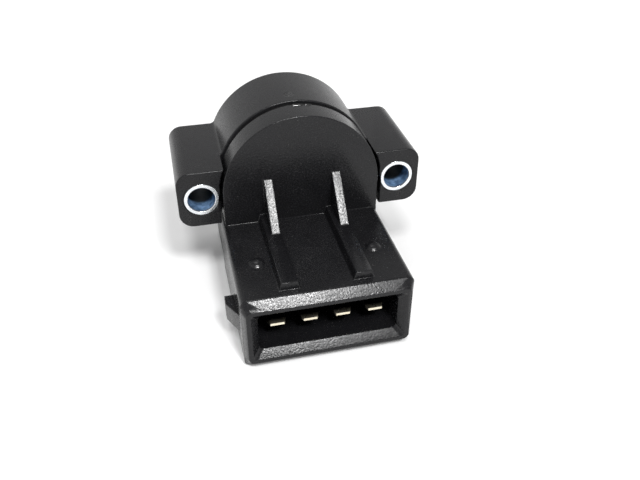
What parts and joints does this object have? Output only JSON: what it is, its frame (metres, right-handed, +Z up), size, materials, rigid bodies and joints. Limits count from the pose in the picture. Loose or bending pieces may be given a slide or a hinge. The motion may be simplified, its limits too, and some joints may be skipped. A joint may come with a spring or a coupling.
{
  "type": "throttle potentiometer",
  "caption": "Rotary position sensor with a sprung rotor in a drum housing, mounting ears with steel sleeves and a shrouded blade connector.",
  "frame": {"origin": "on the rotor's axis, at the mounting face, midway between the two screw holes", "axes": "+X towards the ear on the right as the connector faces the viewer, +Y out of the mounting face along the rotor's axis, +Z up, away from the connector"},
  "size_m": [0.0396, 0.0377, 0.0305],
  "materials": {
    "housing_plastic": "satin moulded black",
    "cap_plastic": "fine-grained moulded black",
    "sealant": "glossy cured compound",
    "element_board": "printed board",
    "plated_contact": "tin-plated brass",
    "rotor_plastic": "natural acetal",
    "zinc_steel": "zinc-plated steel",
    "wiper_metal": "bright spring bronze",
    "spring_steel": "drawn spring wire",
    "seal_rubber": "moulded nitrile"
  },
  "bodies": {
    "sensor_body": {"housing": "housing_plastic", "connector_cap": "cap_plastic", "sealing_bead": "sealant", "resistive_element": "element_board", "terminal_rivets": "plated_contact", "left_sleeve": "zinc_steel", "right_sleeve": "zinc_steel", "terminal_1": "plated_contact", "terminal_2": "plated_contact", "terminal_3": "plated_contact", "terminal_4": "plated_contact", "return_spring": "spring_steel", "shaft_seal": "seal_rubber", "face_seal": "seal_rubber"},
    "rotor": {"rotor": "rotor_plastic", "signal_wiper": "wiper_metal", "idle_wiper": "wiper_metal"}
  },
  "joints": [
    {"name": "rotor_turn", "type": "hinge", "parent": "sensor_body", "child": "rotor", "pos_m": [0, 0, 0], "axis": [0, 1, 0], "range_deg": [0, 96], "stiffness_Nm_per_rad": 0.005, "springref_deg": -20.05}
  ]
}
